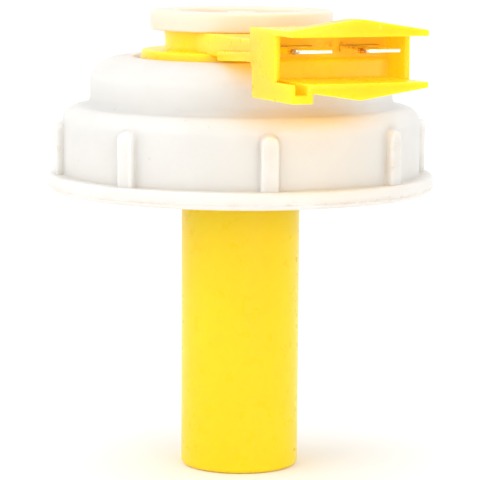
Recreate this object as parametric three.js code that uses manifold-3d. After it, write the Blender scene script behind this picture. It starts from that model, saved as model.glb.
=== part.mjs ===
// Screw cap of a hydraulic fluid reservoir with a built-in low-level switch.
// A float on a rod slides in the hanging tube. When the fluid is low, the contact disc on top of the
// rod bridges the feet of the two blade terminals in the neck of the housing. The screw cap turns
// freely round the housing, so the plug stays where it is while the cap is screwed on.
// Units are millimetres and +Z is up. The origin is the centre of the tube's flat foot, on the axis of
// the cap, and the plug faces -Y.
import * as THREE from "three";
import { mergeVertices } from "three/addons/utils/BufferGeometryUtils.js";
import Module from "manifold-3d";

const wasm = await Module();
wasm.setup();

// Driving dimensions
const GAP = 0.3; // between pieces that touch on the real object
const CAP_RADIUS = 30; // grip rim of the screw cap
const CAP_BOTTOM = 43.6;
const CAP_TOP = 64.3;
const SKIRT_RADIUS = 27.8;
const CAP_WALL = 2.2;
const DOME_RADIUS = 23.5;
const SHOULDER_Z = 56.7;
const RIM_TOP = 46.2;
const RIB_COUNT = 8;
const RIB_WIDTH = 2.56;
const RIB_RADIUS = 29.1;
const RIB_TOP = 54.4;
const RIB_START = 14.3; // degrees from the plug's direction to the nearest rib
const THREAD_DEPTH = 1.4;
const THREAD_PITCH = 4.5;
const THREAD_TURNS = 1.2;
const THREAD_START = 45.6;

const SEAT_RADIUS = 16.7; // shallow seat in the dome for the housing's flange
const SEAT_Z = 63.7;
const BORE_RADIUS = 10.9; // bore of the dome, where the cap turns round the stem
const BORE_BOTTOM = 61;
const BOSS_RADIUS = 15.5; // thicker middle of the dome, on its underside
const CEILING_Z = 62; // underside of the dome round the boss
const RING_SEAT_RADIUS = 12.85;
const RING_SEAT_Z = 61.9;
const GASKET_INNER = 21.6;
const GASKET_OUTER = 23.9; // stays inside the crest of the thread
const GASKET_BOTTOM = 52.6;

const FLANGE_RADIUS = 15.77;
const FLANGE_TOP = 65.4;
const NECK_RADIUS = 11.85;
const NECK_TOP = 68.2;
const STEM_RADIUS = 10.5;
const STEM_BOTTOM = 52.2;
const GROOVE_DEPTH = 0.55; // groove of the snap ring
const GROOVE_BOTTOM = 58.6;
const GROOVE_TOP = 60.1;
const CHAMBER_RADIUS = 9.2;
const CHAMBER_FLOOR = 53.4;
const LEDGE_RADIUS = 10.1;
const LEDGE_Z = 65;
const SPIGOT_RADIUS = 7.7;
const SPIGOT_WALL = 1.3;
const SPIGOT_BOTTOM = 46.5;
const PIP_REACH = 8.7; // pips of the spigot, caught in the windows of the tube
const PIP_HALF = 1.5;
const PIP_HEIGHTS = [48.6, 50.2];
const BUSH_HOLE = 2.9;

const COVER_RADIUS = 14.16;
const COVER_BOTTOM = 68.5;
const COVER_TOP = 71.5;
const COVER_FLOOR = 70.5; // top face of the recess round the button
const COVER_RECESS_RADIUS = 9.2;
const COVER_CEILING = 69.7;
const COVER_PLUG_RADIUS = 9.8; // collar that sits in the mouth of the housing
const COVER_PLUG_BOTTOM = 68;

const ARM_HALF = 10.1;
const ARM_BOTTOM = 65.2;
const ARM_TOP = 68.45;
const LIP_START = 15.7;
const LIP_BOTTOM = 64.7;
const LIP_TOP = 66.15;
const LIP_RISE = 0.6; // from its start to the connector

const PLUG_HALF = 10.58; // half width of the connector shroud
const PLUG_MOUTH = 43.3; // distance of the mouth from the axis
const PLUG_BACK = 28.9;
const PLUG_UPPER_BACK = 28.1;
const PLUG_ROOF = 70.25;
const PLUG_PEAK = 71.8;
const PLUG_PEAK_HALF = 0.6;
const PLUG_FOOT = 60.2; // flat bottom beside the keyway
const PLUG_KEEL = 60.5;
const PLUG_EDGE = 62.1;
const PLUG_WALL = 0.87;
const KEYWAY_EDGE = -7.3;
const KEYWAY_HEIGHT = 61.6;
const KEYWAY_SPAN = [-10.03, -8.2];
const KEYWAY_FLOOR = 61.35;
const KEYWAY_BACK = 33;
const LATCH_LENGTH = 4;
const SIDE_SETBACK = 6; // the side walls end this far behind the mouth
const CAVITY_BACK = 31.3;
const CAVITY_FLOOR = 62.9;
const CAVITY_CEILING = 69.4;
const CAVITY_STEP = 65.8; // height of the step in the back wall

const TAB_WIDTH = 6.3;
const TAB_THICK = 0.8;
const TAB_OFFSET = 5.3;
const TAB_Z = 67.2;
const TAB_TIP = 39.8;
const TAB_CORNER = [0.73, 1.2]; // tapered corners of the tab's tip
const STRIP_WIDTH = 2.6;
const LEG_NEAR = 5.4;
const FOOT_NEAR = 1;
const FOOT_BOTTOM = 54.4;
const CARRIER_RADIUS = 9.8;
const CARRIER_BOTTOM = 65.3;
const CARRIER_TOP = 66.4;
const CUP_RADIUS = 4; // cup of the carrier, round the spring
const CUP_BOTTOM = 63.1;

const TUBE_RADIUS = 9.25;
const TUBE_FOOT_RADIUS = 9.18;
const TUBE_BORE = 8;
const TUBE_FLOOR = 1.5;
const INLET_COUNT = 6;
const INLET_RADIUS = 1.25;
const INLET_CIRCLE = 5.2;
const WINDOW_HALF = 1.95;
const WINDOW_HEIGHTS = [48.2, 50.6];
const VENT_HALF = 1.4;
const VENT_HEIGHTS = [44.4, 46];

const FLOAT_RADIUS = 7.2;
const FLOAT_BOTTOM = 4;
const FLOAT_LENGTH = 30;
const ROD_RADIUS = 1;
const ROD_BOTTOM = 2.2;
const ROD_TOP = 57.1;
const DISC_RADIUS = 6.2;
const DISC_BOTTOM = 55.5;
const DISC_THICK = 0.5;
const CLIP_THICK = 0.7;
const FLOAT_CLIP_RADIUS = 2.6;
const DISC_CLIP_RADIUS = 2.4;
const BUSH_BORE = 1.35;
const BUSH_RADIUS = 2.6;
const BUSH_HEAD_RADIUS = 3.7;
const BUSH_BOTTOM = 50.9;

const BUTTON_RADIUS = 2.5;
const BUTTON_TOP = 71.3;
const COLLAR_RADIUS = 3.6;
const COLLAR_HEIGHTS = [68.9, 69.4];
const PIN_RADIUS = 1.1;
const PIN_BOTTOM = 62.9;
const SPRING_RADIUS = 2;
const SPRING_TURNS = 3.5;
const SPRING_HEIGHTS = [64.4, 68.3];
const WIRE_RADIUS = 0.25;

const SEAL_RADIUS = 11.75;
const SEAL_Z = 62.95;
const SEAL_CORD = 0.75;
const WASHER_RADII = [10.8, 14];
const WASHER_HEIGHTS = [60.1, 60.7];
const SNAP_RADII = [10.25, 12.9];
const SNAP_HEIGHTS = [59, 59.8];
const SNAP_OPENING = 1.6;

// A closed geometry as a solid, without the triangles that have shrunk to a line on the axis.
function toSolid(geometry) {
  const bare = geometry.index ? geometry.toNonIndexed() : geometry.clone();
  bare.deleteAttribute("normal");
  bare.deleteAttribute("uv");
  const merged = mergeVertices(bare, 1e-4);
  const corners = merged.index.array;
  const kept = [];
  for (let i = 0; i < corners.length; i += 3) {
    const [a, b, c] = corners.slice(i, i + 3);
    if (a !== b && b !== c && c !== a) kept.push(a, b, c);
  }
  return new wasm.Manifold(
    new wasm.Mesh({
      numProp: 3,
      vertProperties: merged.attributes.position.array,
      triVerts: new Uint32Array(kept),
    }),
  );
}

function toMesh(name, solid, material) {
  const { vertProperties, triVerts } = solid.getMesh();
  const geometry = new THREE.BufferGeometry();
  geometry.setAttribute("position", new THREE.BufferAttribute(vertProperties, 3));
  geometry.setIndex(new THREE.BufferAttribute(triVerts, 1));
  geometry.computeVertexNormals();
  const mesh = new THREE.Mesh(geometry, material);
  mesh.name = name;
  return mesh;
}

function joined(solids) {
  return solids.reduce((whole, piece) => whole.add(piece));
}

function cut(solid, tools) {
  return tools.reduce((whole, tool) => whole.subtract(tool), solid);
}

// Points of an elliptical arc, with angles in degrees.
function arc(x, y, radiusX, radiusY, from, to, steps) {
  return Array.from({ length: steps + 1 }, (_, i) => {
    const angle = THREE.MathUtils.degToRad(from + ((to - from) * i) / steps);
    return [x + radiusX * Math.cos(angle), y + radiusY * Math.sin(angle)];
  });
}

// A profile of [radius, height] points turned round the Z axis.
function revolve(profile, segments) {
  const points = profile.map(([r, z]) => new THREE.Vector2(r, z));
  const loop = [...points, points[0].clone()];
  if (THREE.ShapeUtils.area(points) < 0) loop.reverse();
  return toSolid(new THREE.LatheGeometry(loop, segments).rotateX(Math.PI / 2));
}

function ring(inner, outer, bottom, top, segments) {
  const profile = [[inner, bottom], [outer, bottom], [outer, top], [inner, top]];
  return revolve(profile, segments);
}

function drum(radius, bottom, top, segments) {
  return ring(0, radius, bottom, top, segments);
}

function prism(outline, depth) {
  const shape = new THREE.Shape(outline.map(([x, y]) => new THREE.Vector2(x, y)));
  return new THREE.ExtrudeGeometry(shape, { depth, bevelEnabled: false });
}

// An outline of [x, y] points raised from one height to another.
function upright(outline, bottom, top) {
  return toSolid(prism(outline, top - bottom).translate(0, 0, bottom));
}

// An outline of [x, z] points drawn out along the arm, between two distances from the axis.
function alongArm(outline, near, far) {
  return toSolid(prism(outline, far - near).translate(0, 0, near).rotateX(Math.PI / 2));
}

// An outline of [distance from the axis, z] points drawn across the arm, over its whole width.
function acrossArm(outline, half) {
  const turn = new THREE.Matrix4().makeBasis(
    new THREE.Vector3(0, -1, 0),
    new THREE.Vector3(0, 0, 1),
    new THREE.Vector3(-1, 0, 0),
  );
  return toSolid(prism(outline, 2 * half).translate(0, 0, -half).applyMatrix4(turn));
}

function block([left, right], [near, far], [bottom, top]) {
  const box = new THREE.BoxGeometry(right - left, far - near, top - bottom);
  box.translate((left + right) / 2, -(near + far) / 2, (bottom + top) / 2);
  return toSolid(box);
}

function turned(solid, degrees) {
  return solid.rotate([0, 0, degrees]);
}

// Materials
function plastic(colour, roughness) {
  return new THREE.MeshStandardMaterial({ color: colour, roughness, metalness: 0 });
}

function metal(colour, roughness) {
  return new THREE.MeshStandardMaterial({ color: colour, roughness, metalness: 1 });
}

const capPlastic = plastic(0xe9e6df, 0.45);
const yellowPlastic = plastic(0xf7dc2e, 0.35);
const creamRubber = plastic(0xf3e3cd, 0.5);
const naturalPlastic = plastic(0xe4dfd2, 0.4);
const blackRubber = plastic(0x1b1b1c, 0.75);
const floatFoam = plastic(0x4a3d33, 0.9);
const tinnedBrass = metal(0xcfcac2, 0.28);
const springSteel = metal(0xb9bcc0, 0.3);
const brass = metal(0xc9a45a, 0.32);

// Screw cap
function capProfile() {
  const root = SKIRT_RADIUS - CAP_WALL;
  const edge = 0.6;
  const shoulder = 2.4;
  const foot = 1.2;
  const domeReach = 5;
  const domeRise = 3.9;
  const insideRise = 1.8;
  return [
    [root + edge, CAP_BOTTOM],
    [CAP_RADIUS - edge, CAP_BOTTOM],
    [CAP_RADIUS, CAP_BOTTOM + edge],
    [CAP_RADIUS, RIM_TOP - edge / 2],
    [CAP_RADIUS - edge / 2, RIM_TOP],
    [SKIRT_RADIUS, RIM_TOP],
    ...arc(SKIRT_RADIUS - shoulder, SHOULDER_Z - shoulder, shoulder, shoulder, 0, 90, 3),
    ...arc(DOME_RADIUS + foot, SHOULDER_Z + foot, foot, foot, 270, 180, 2),
    ...arc(DOME_RADIUS - domeReach, CAP_TOP - domeRise, domeReach, domeRise, 0, 90, 4),
    [SEAT_RADIUS + 0.2, CAP_TOP],
    [SEAT_RADIUS - 0.2, SEAT_Z],
    [RING_SEAT_RADIUS, SEAT_Z],
    [RING_SEAT_RADIUS, RING_SEAT_Z],
    [BORE_RADIUS, RING_SEAT_Z],
    [BORE_RADIUS, BORE_BOTTOM],
    [BOSS_RADIUS, BORE_BOTTOM],
    [BOSS_RADIUS + 1, CEILING_Z],
    ...arc(DOME_RADIUS - domeReach, CEILING_Z - insideRise, domeReach - CAP_WALL, insideRise, 90, 0, 2),
    [DOME_RADIUS - CAP_WALL, SHOULDER_Z - CAP_WALL],
    [root, SHOULDER_Z - CAP_WALL],
    [root, CAP_BOTTOM + edge],
  ];
}

function gripRib() {
  const sunk = 1; // how far the rib reaches into the wall and the rim
  const reach = 1.6;
  const height = 2;
  const profile = [
    [SKIRT_RADIUS - sunk, RIM_TOP - sunk],
    [RIB_RADIUS, RIM_TOP - sunk],
    ...arc(RIB_RADIUS - reach, RIB_TOP - height, reach, height, 0, 90, 3),
    [SKIRT_RADIUS - sunk, RIB_TOP],
  ];
  return acrossArm(profile, RIB_WIDTH / 2);
}

// The thread is a bar of trapezoid section bent into a helix, with its length taken as the angle.
function thread() {
  const root = SKIRT_RADIUS - CAP_WALL;
  const sunk = 0.5;
  const foot = 1.2;
  const crest = 0.5;
  const section = [[sunk, -foot], [sunk, foot], [-THREAD_DEPTH, crest], [-THREAD_DEPTH, -crest]];
  const shape = new THREE.Shape(section.map(([x, y]) => new THREE.Vector2(x, y)));
  const sweep = THREAD_TURNS * 2 * Math.PI;
  const bar = new THREE.ExtrudeGeometry(shape, { depth: sweep, steps: 36, bevelEnabled: false });
  const at = bar.getAttribute("position");
  for (let i = 0; i < at.count; i += 1) {
    const angle = at.getZ(i);
    const radius = root + at.getX(i);
    const height = THREAD_START + at.getY(i) + (THREAD_PITCH * angle) / (2 * Math.PI);
    at.setXYZ(i, radius * Math.cos(-angle), radius * Math.sin(-angle), height);
  }
  return toSolid(bar);
}

function screwCap() {
  const step = 360 / RIB_COUNT;
  const ribs = Array.from({ length: RIB_COUNT }, (_, i) => turned(gripRib(), i * step - RIB_START));
  return joined([revolve(capProfile(), 48), thread(), ...ribs]);
}

const gasket = ring(GASKET_INNER, GASKET_OUTER, GASKET_BOTTOM, SHOULDER_Z - CAP_WALL - GAP, 40);

// Housing: flange, neck, stem, spigot, arm and connector in one moulding
function housingBody() {
  const fillet = 0.6;
  const flare = 0.25;
  return revolve([
    [0, STEM_BOTTOM],
    [STEM_RADIUS, STEM_BOTTOM],
    [STEM_RADIUS, GROOVE_BOTTOM],
    [STEM_RADIUS - GROOVE_DEPTH, GROOVE_BOTTOM],
    [STEM_RADIUS - GROOVE_DEPTH, GROOVE_TOP],
    [STEM_RADIUS, GROOVE_TOP],
    [STEM_RADIUS, SEAT_Z + GAP],
    [FLANGE_RADIUS, SEAT_Z + GAP],
    [FLANGE_RADIUS - 0.3, FLANGE_TOP - 0.35],
    [FLANGE_RADIUS - 0.7, FLANGE_TOP],
    ...arc(NECK_RADIUS + fillet, FLANGE_TOP + fillet, fillet, fillet, 270, 180, 2),
    [NECK_RADIUS + flare, NECK_TOP],
    [0, NECK_TOP],
  ], 40);
}

function chamber() {
  return revolve([
    [0, CHAMBER_FLOOR],
    [CHAMBER_RADIUS, CHAMBER_FLOOR],
    [CHAMBER_RADIUS, LEDGE_Z],
    [LEDGE_RADIUS, LEDGE_Z],
    [LEDGE_RADIUS, NECK_TOP + 1],
    [0, NECK_TOP + 1],
  ], 32);
}

function spigot() {
  const pip = block([-PIP_REACH, PIP_REACH], [-PIP_HALF, PIP_HALF], PIP_HEIGHTS);
  const bore = drum(SPIGOT_RADIUS - SPIGOT_WALL, SPIGOT_BOTTOM - 1, STEM_BOTTOM, 32);
  return drum(SPIGOT_RADIUS, SPIGOT_BOTTOM, STEM_BOTTOM + 0.1, 32).add(pip).subtract(bore);
}

// The sides of the beam run into the neck through a fillet. The lip below them rises outwards.
function arm() {
  const blend = 4;
  const overlap = 0.5;
  const along = Math.sqrt((NECK_RADIUS + blend) ** 2 - (ARM_HALF + blend) ** 2);
  const side = [
    [NECK_RADIUS * 0.84, -NECK_RADIUS * 0.46],
    [ARM_HALF, -along],
    [ARM_HALF, -PLUG_BACK - overlap],
  ];
  const mirrored = side.map(([x, y]) => [-x, y]).reverse();
  const beam = upright([...side, ...mirrored], ARM_BOTTOM, ARM_TOP);
  const fillet = 1;
  const lip = acrossArm([
    [LIP_START, LIP_BOTTOM],
    ...arc(PLUG_BACK - fillet, LIP_BOTTOM + LIP_RISE - fillet, fillet, fillet, 90, 0, 3),
    [PLUG_BACK + overlap, LIP_BOTTOM + LIP_RISE - fillet],
    [PLUG_BACK + overlap, LIP_TOP + LIP_RISE],
    [LIP_START, LIP_TOP],
  ], PLUG_HALF);
  return beam.add(lip);
}

function shroud() {
  const outline = [
    [-PLUG_HALF, PLUG_FOOT],
    [KEYWAY_EDGE, PLUG_FOOT],
    [KEYWAY_EDGE, KEYWAY_HEIGHT],
    [0, PLUG_KEEL],
    [PLUG_HALF, PLUG_EDGE],
    [PLUG_HALF, PLUG_ROOF],
    [-PLUG_HALF, PLUG_ROOF],
  ];
  const latch = [
    [-PLUG_HALF, PLUG_ROOF - 0.3],
    [PLUG_HALF, PLUG_ROOF - 0.3],
    [PLUG_HALF, PLUG_ROOF],
    [PLUG_PEAK_HALF, PLUG_PEAK],
    [-PLUG_PEAK_HALF, PLUG_PEAK],
    [-PLUG_HALF, PLUG_ROOF],
  ];
  return joined([
    alongArm(outline, PLUG_BACK, PLUG_MOUTH),
    alongArm(latch, PLUG_MOUTH - LATCH_LENGTH, PLUG_MOUTH),
    block([-PLUG_HALF, PLUG_HALF], [PLUG_UPPER_BACK, PLUG_BACK + 0.5], [LIP_TOP, PLUG_ROOF]),
  ]);
}

function shroudCuts() {
  const inside = PLUG_HALF - PLUG_WALL;
  const past = PLUG_MOUTH + 1;
  const slot = TAB_WIDTH / 2 + GAP;
  const slotHeight = [TAB_Z - TAB_THICK / 2 - GAP, TAB_Z + TAB_THICK / 2 + GAP];
  const outside = PLUG_HALF + 1;
  return [
    block([-inside, inside], [CAVITY_BACK, past], [CAVITY_STEP, CAVITY_CEILING]),
    block([-inside, inside], [CAVITY_BACK + 0.6, past], [CAVITY_FLOOR, CAVITY_STEP + 0.2]),
    block([-outside, outside], [PLUG_MOUTH - SIDE_SETBACK, past], [CAVITY_FLOOR, CAVITY_CEILING]),
    block(KEYWAY_SPAN, [KEYWAY_BACK, past], [KEYWAY_FLOOR, CAVITY_FLOOR + 0.1]),
    ...[-TAB_OFFSET, TAB_OFFSET].map((x) => block([x - slot, x + slot], [5, CAVITY_BACK + 1], slotHeight)),
  ];
}

function housing() {
  const outer = joined([housingBody(), spigot(), arm(), shroud()]);
  return cut(outer, [chamber(), drum(BUSH_HOLE, SPIGOT_BOTTOM, CHAMBER_FLOOR + 1, 24), ...shroudCuts()]);
}

// Blade terminal: tab, strip through the arm, leg down the chamber and contact foot under the disc
function terminal(side) {
  const x = side * TAB_OFFSET;
  const half = TAB_WIDTH / 2;
  const narrow = STRIP_WIDTH / 2;
  const low = TAB_Z - TAB_THICK / 2;
  const legFar = LEG_NEAR + TAB_THICK;
  const wide = 12;
  const [tipInset, tipLength] = TAB_CORNER;
  const outline = [
    [x - half, -wide],
    [x - half, tipLength - TAB_TIP],
    [x - half + tipInset, -TAB_TIP],
    [x + half - tipInset, -TAB_TIP],
    [x + half, tipLength - TAB_TIP],
    [x + half, -wide],
    [x + narrow, 1 - wide],
    [x + narrow, -LEG_NEAR],
    [x - narrow, -LEG_NEAR],
    [x - narrow, 1 - wide],
  ];
  return joined([
    upright(outline, low, low + TAB_THICK),
    block([x - narrow, x + narrow], [LEG_NEAR, legFar], [FOOT_BOTTOM, low + 0.1]),
    block([x - narrow, x + narrow], [FOOT_NEAR, legFar], [FOOT_BOTTOM, FOOT_BOTTOM + TAB_THICK]),
  ]);
}

// Carrier plate: holds the terminal legs apart, guides the test pin and seats its spring
function carrier() {
  const cupWall = 1;
  const cupFloor = CUP_BOTTOM + 0.7;
  const notch = STRIP_WIDTH / 2 + GAP;
  const past = 1;
  const notchReach = [LEG_NEAR - 0.5, CARRIER_RADIUS + past];
  const notchHeights = [CARRIER_BOTTOM - past, CARRIER_TOP + past];
  const plate = revolve([
    [0, CUP_BOTTOM],
    [CUP_RADIUS, CUP_BOTTOM],
    [CUP_RADIUS, CARRIER_BOTTOM],
    [CARRIER_RADIUS, CARRIER_BOTTOM],
    [CARRIER_RADIUS, CARRIER_TOP],
    [CUP_RADIUS - cupWall, CARRIER_TOP],
    [CUP_RADIUS - cupWall, cupFloor],
    [0, cupFloor],
  ], 28);
  const notches = [-TAB_OFFSET, TAB_OFFSET].map((x) => block([x - notch, x + notch], notchReach, notchHeights));
  return cut(plate, [drum(PIN_RADIUS + 0.4, CUP_BOTTOM - past, cupFloor + past, 20), ...notches]);
}

// Cover and test button
const coverShell = revolve([
  [COVER_PLUG_RADIUS - 1, COVER_PLUG_BOTTOM],
  [COVER_PLUG_RADIUS, COVER_PLUG_BOTTOM],
  [COVER_PLUG_RADIUS, COVER_BOTTOM],
  [COVER_RADIUS - 0.3, COVER_BOTTOM],
  [COVER_RADIUS, COVER_BOTTOM + 0.3],
  ...arc(COVER_RADIUS - 0.8, COVER_TOP - 0.8, 0.8, 0.8, 0, 90, 2),
  ...arc(COVER_RECESS_RADIUS + 0.7, COVER_TOP - 0.5, 0.5, 0.5, 90, 180, 1),
  [COVER_RECESS_RADIUS, COVER_FLOOR],
  [BUTTON_RADIUS + GAP, COVER_FLOOR],
  [BUTTON_RADIUS + GAP, COVER_CEILING],
  [COVER_PLUG_RADIUS - 1, COVER_CEILING],
], 40);

const testButton = revolve([
  [0, PIN_BOTTOM],
  [PIN_RADIUS, PIN_BOTTOM],
  [PIN_RADIUS, COLLAR_HEIGHTS[0]],
  [COLLAR_RADIUS, COLLAR_HEIGHTS[0]],
  [COLLAR_RADIUS, COLLAR_HEIGHTS[1]],
  [BUTTON_RADIUS, COLLAR_HEIGHTS[1]],
  ...arc(BUTTON_RADIUS - 0.6, BUTTON_TOP - 0.6, 0.6, 0.6, 0, 90, 2),
  [0, BUTTON_TOP],
], 20);

function spring() {
  const [bottom, top] = SPRING_HEIGHTS;
  const count = 35;
  const points = Array.from({ length: count + 1 }, (_, i) => {
    const angle = (i / count) * SPRING_TURNS * 2 * Math.PI;
    const height = bottom + ((top - bottom) * i) / count;
    return new THREE.Vector3(SPRING_RADIUS * Math.cos(angle), SPRING_RADIUS * Math.sin(angle), height);
  });
  const wire = new THREE.Shape().absarc(0, 0, WIRE_RADIUS, 0, 2 * Math.PI);
  const options = {
    steps: count, curveSegments: 5, bevelEnabled: false, extrudePath: new THREE.CatmullRomCurve3(points),
  };
  return toSolid(new THREE.ExtrudeGeometry(wire, options));
}

// Float group
// A rod or float with chamfered ends, bored through unless the inner radius is 0.
function chamferedBar(inner, outer, bottom, top, chamfer, segments) {
  return revolve([
    [inner, bottom],
    [outer - chamfer, bottom],
    [outer, bottom + chamfer],
    [outer, top - chamfer],
    [outer - chamfer, top],
    [inner, top],
  ], segments);
}

const rod = chamferedBar(0, ROD_RADIUS, ROD_BOTTOM, ROD_TOP, 0.3, 14);
const floatBore = ROD_RADIUS + GAP;
const floatBody = chamferedBar(floatBore, FLOAT_RADIUS, FLOAT_BOTTOM, FLOAT_BOTTOM + FLOAT_LENGTH, 0.8, 28);

function rodClip(bottom, radius) {
  return ring(ROD_RADIUS + GAP, radius, bottom, bottom + CLIP_THICK, 16);
}

const contactDisc = ring(ROD_RADIUS + GAP, DISC_RADIUS, DISC_BOTTOM, DISC_BOTTOM + DISC_THICK, 24);

const bush = revolve([
  [BUSH_BORE, BUSH_BOTTOM],
  [BUSH_RADIUS, BUSH_BOTTOM],
  [BUSH_RADIUS, CHAMBER_FLOOR + GAP],
  [BUSH_HEAD_RADIUS, CHAMBER_FLOOR + GAP],
  [BUSH_HEAD_RADIUS, CHAMBER_FLOOR + 0.9],
  [BUSH_BORE, CHAMBER_FLOOR + 0.9],
], 20);

function tube() {
  const top = STEM_BOTTOM - GAP;
  const footRound = 0.9;
  const through = TUBE_RADIUS + 2;
  const shell = revolve([
    [0, 0],
    ...arc(TUBE_FOOT_RADIUS - footRound, footRound, footRound, footRound, 270, 360, 3),
    [TUBE_RADIUS, CAP_BOTTOM],
    [TUBE_RADIUS, top],
    [TUBE_BORE, top],
    [TUBE_BORE, TUBE_FLOOR],
    [0, TUBE_FLOOR],
  ], 36);
  const inlet = drum(INLET_RADIUS, -1, TUBE_FLOOR + 1, 8).translate([INLET_CIRCLE, 0, 0]);
  const step = 360 / INLET_COUNT;
  const inlets = Array.from({ length: INLET_COUNT }, (_, i) => turned(inlet, (i + 0.5) * step));
  const windows = block([-through, through], [-WINDOW_HALF, WINDOW_HALF], WINDOW_HEIGHTS);
  const vents = block([-VENT_HALF, VENT_HALF], [-through, through], VENT_HEIGHTS);
  return cut(shell, [...inlets, windows, vents]);
}

// Seal and retention between housing and cap
const sealRing = revolve(arc(SEAL_RADIUS, SEAL_Z, SEAL_CORD, SEAL_CORD, 0, 300, 5), 32);
const slipWasher = ring(...WASHER_RADII, ...WASHER_HEIGHTS, 32);

function snapRing() {
  const [bottom, top] = SNAP_HEIGHTS;
  const opening = block([-SNAP_OPENING, SNAP_OPENING], [-SNAP_RADII[1] - 1, 0], [bottom - 1, top + 1]);
  return ring(...SNAP_RADII, bottom, top, 32).subtract(opening);
}

const part = new THREE.Group();
part.add(
  toMesh("screw_cap", screwCap(), capPlastic),
  toMesh("sealing_gasket", gasket, blackRubber),
  toMesh("switch_housing", housing(), yellowPlastic),
  toMesh("float_tube", tube(), yellowPlastic),
  toMesh("top_cover", coverShell, creamRubber),
  toMesh("test_button", testButton, creamRubber),
  toMesh("button_spring", spring(), springSteel),
  toMesh("contact_carrier", carrier(), naturalPlastic),
  toMesh("terminal_left", terminal(-1), tinnedBrass),
  toMesh("terminal_right", terminal(1), tinnedBrass),
  toMesh("stem_seal_ring", sealRing, blackRubber),
  toMesh("slip_washer", slipWasher, naturalPlastic),
  toMesh("snap_ring", snapRing(), springSteel),
  toMesh("rod_guide_bush", bush, naturalPlastic),
  toMesh("float_rod", rod, naturalPlastic),
  toMesh("float", floatBody, floatFoam),
  toMesh("float_clip_lower", rodClip(FLOAT_BOTTOM - GAP - CLIP_THICK, FLOAT_CLIP_RADIUS), springSteel),
  toMesh("float_clip_upper", rodClip(FLOAT_BOTTOM + FLOAT_LENGTH + GAP, FLOAT_CLIP_RADIUS), springSteel),
  toMesh("contact_disc", contactDisc, brass),
  toMesh("disc_clip_lower", rodClip(DISC_BOTTOM - GAP - CLIP_THICK, DISC_CLIP_RADIUS), springSteel),
  toMesh("disc_clip_upper", rodClip(DISC_BOTTOM + DISC_THICK + GAP, DISC_CLIP_RADIUS), springSteel),
);

export default part;
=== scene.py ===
"""Looks of the reservoir cap with float level switch: fine meshes and procedural materials.

Shapes are worked out in millimetres, with +Z up and the plug facing -Y. They are scaled to metres when
a piece is made. Hidden pieces follow the usual construction, because the photograph does not show them.
"""
import math

import bmesh
import bpy
import numpy as np
from mathutils import Matrix, Vector


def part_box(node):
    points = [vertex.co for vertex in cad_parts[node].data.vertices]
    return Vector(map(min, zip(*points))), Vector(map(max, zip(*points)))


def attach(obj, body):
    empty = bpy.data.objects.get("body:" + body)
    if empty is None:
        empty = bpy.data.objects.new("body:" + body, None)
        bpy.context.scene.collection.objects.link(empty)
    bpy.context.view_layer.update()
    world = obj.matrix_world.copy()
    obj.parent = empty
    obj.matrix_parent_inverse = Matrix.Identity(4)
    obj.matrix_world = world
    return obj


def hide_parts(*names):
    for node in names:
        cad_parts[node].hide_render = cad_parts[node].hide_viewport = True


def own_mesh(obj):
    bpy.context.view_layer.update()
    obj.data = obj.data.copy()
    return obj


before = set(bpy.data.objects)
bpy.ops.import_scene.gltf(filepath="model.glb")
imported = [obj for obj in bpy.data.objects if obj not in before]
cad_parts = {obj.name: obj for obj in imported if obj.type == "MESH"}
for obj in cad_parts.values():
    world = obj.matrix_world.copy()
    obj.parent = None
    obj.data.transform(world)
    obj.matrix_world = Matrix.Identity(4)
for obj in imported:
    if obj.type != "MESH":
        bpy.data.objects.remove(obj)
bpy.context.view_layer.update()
MM = 0.001


def node_box(node):
    """Lowest and highest corner of a CAD node, in millimetres."""
    low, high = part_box(node)
    return low / MM, high / MM


cap_low, cap_high = node_box("screw_cap")
housing_low, housing_high = node_box("switch_housing")
tube_low, tube_high = node_box("float_tube")
cover_low, cover_high = node_box("top_cover")

# Screw cap
CAP_RADIUS = cap_high.x
CAP_BOTTOM = cap_low.z
CAP_TOP = cap_high.z
CAP_WALL = 2.2
RIM_HEIGHT = 2.6
RIM_TOP = CAP_BOTTOM + RIM_HEIGHT
SKIRT_RADIUS = 27.8
SHOULDER_Z = 56.7
SHOULDER_ROUND = 2.4
RIB_ARC_ROWS = 8  # rows of the shoulder's rounding that the tops of the ribs reach
DOME_RADIUS = 23.5
SEAT_RADIUS = 16.7
SEAT_Z = 63.7
RING_SEAT_RADIUS = 12.85
RING_SEAT_Z = 61.9
BORE_RADIUS = 10.9
BORE_BOTTOM = 61.0
BOSS_RADIUS = 15.5
CEILING_Z = 62.0
RIB_COUNT = 8
RIB_WIDTH = 2.56
RIB_HEIGHT = 1.3
RIB_TOP = 54.4
RIB_START = math.radians(14.3)
THREAD_DEPTH = 1.4
THREAD_PITCH = 4.5
THREAD_START = 45.6
THREAD_TURNS = 1.2

# Housing
FLANGE_RADIUS = housing_high.y
FLANGE_BOTTOM = 64.0
FLANGE_TOP = 65.4
NECK_RADIUS = 11.85
NECK_TOP = 68.2
NECK_CREST = 68.42
STEM_RADIUS = 10.5
STEM_BOTTOM = 52.2
SEAL_GROOVE = (58.6, 60.1)
SEAL_GROOVE_DEPTH = 0.55
SPIGOT_RADIUS = 7.7
SPIGOT_BOTTOM = housing_low.z
CHAMBER_RADIUS = 9.2
CHAMBER_FLOOR = 53.4
LEDGE_RADIUS = 10.1
LEDGE_Z = 65.0
ARM_HALF = 10.1
ARM_BOTTOM = 65.2
ARM_TOP = 68.45
LIP_START = 15.7
LIP_BOTTOM = 64.7
LIP_TOP = 66.15
LIP_RISE = 0.6
PLUG_HALF = 10.58
PLUG_MOUTH = -housing_low.y
PLUG_BACK = 28.9
PLUG_UPPER_BACK = 28.1
PLUG_ROOF = 70.25
PLUG_PEAK = housing_high.z
PLUG_FOOT = 60.2
PLUG_KEEL = 60.5
PLUG_EDGE = 62.1
KEYWAY_EDGE = -7.3
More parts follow.
